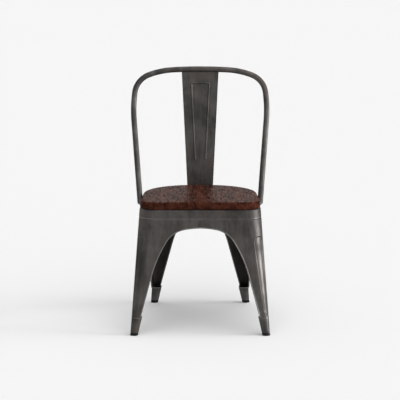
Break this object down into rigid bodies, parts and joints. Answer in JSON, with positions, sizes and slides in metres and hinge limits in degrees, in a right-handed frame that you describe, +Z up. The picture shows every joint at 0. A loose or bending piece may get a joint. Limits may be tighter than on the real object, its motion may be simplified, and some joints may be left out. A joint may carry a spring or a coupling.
{
  "type": "dining_chair",
  "caption": "Metal bistro chair: bent tube hoop, tapered sheet splat with a raised bead, pressed sheet legs with fluted corners and a glued wooden seat board.",
  "frame": {"origin": "on the floor at the middle of the chair's overall width and depth", "axes": "+X to the right seen from the front, +Y from the front to the back, +Z up"},
  "size_m": [0.476, 0.5346, 0.8449],
  "materials": {
    "gunmetal": "semi_gloss",
    "board_wood": "satin",
    "foot_rubber": "matte",
    "plug_plastic": "matte",
    "zinc_steel": "satin",
    "insert_brass": "satin"
  },
  "bodies": {
    "root": {"seat_stave_1": "board_wood", "seat_stave_2": "board_wood", "seat_stave_3": "board_wood", "seat_stave_4": "board_wood", "seat_pan": "gunmetal", "front_left_leg": "gunmetal", "front_right_leg": "gunmetal", "rear_left_leg": "gunmetal", "rear_right_leg": "gunmetal", "back_hoop": "gunmetal", "back_splat": "gunmetal", "hoop_plug_left": "plug_plastic", "hoop_plug_right": "plug_plastic", "front_left_foot": "foot_rubber", "front_right_foot": "foot_rubber", "rear_left_foot": "foot_rubber", "rear_right_foot": "foot_rubber", "brace_strap_lower": "gunmetal", "brace_strap_upper": "gunmetal", "brace_pads": "foot_rubber", "seat_bolts": "zinc_steel", "seat_washers": "zinc_steel", "seat_inserts": "insert_brass"}
  },
  "joints": []
}
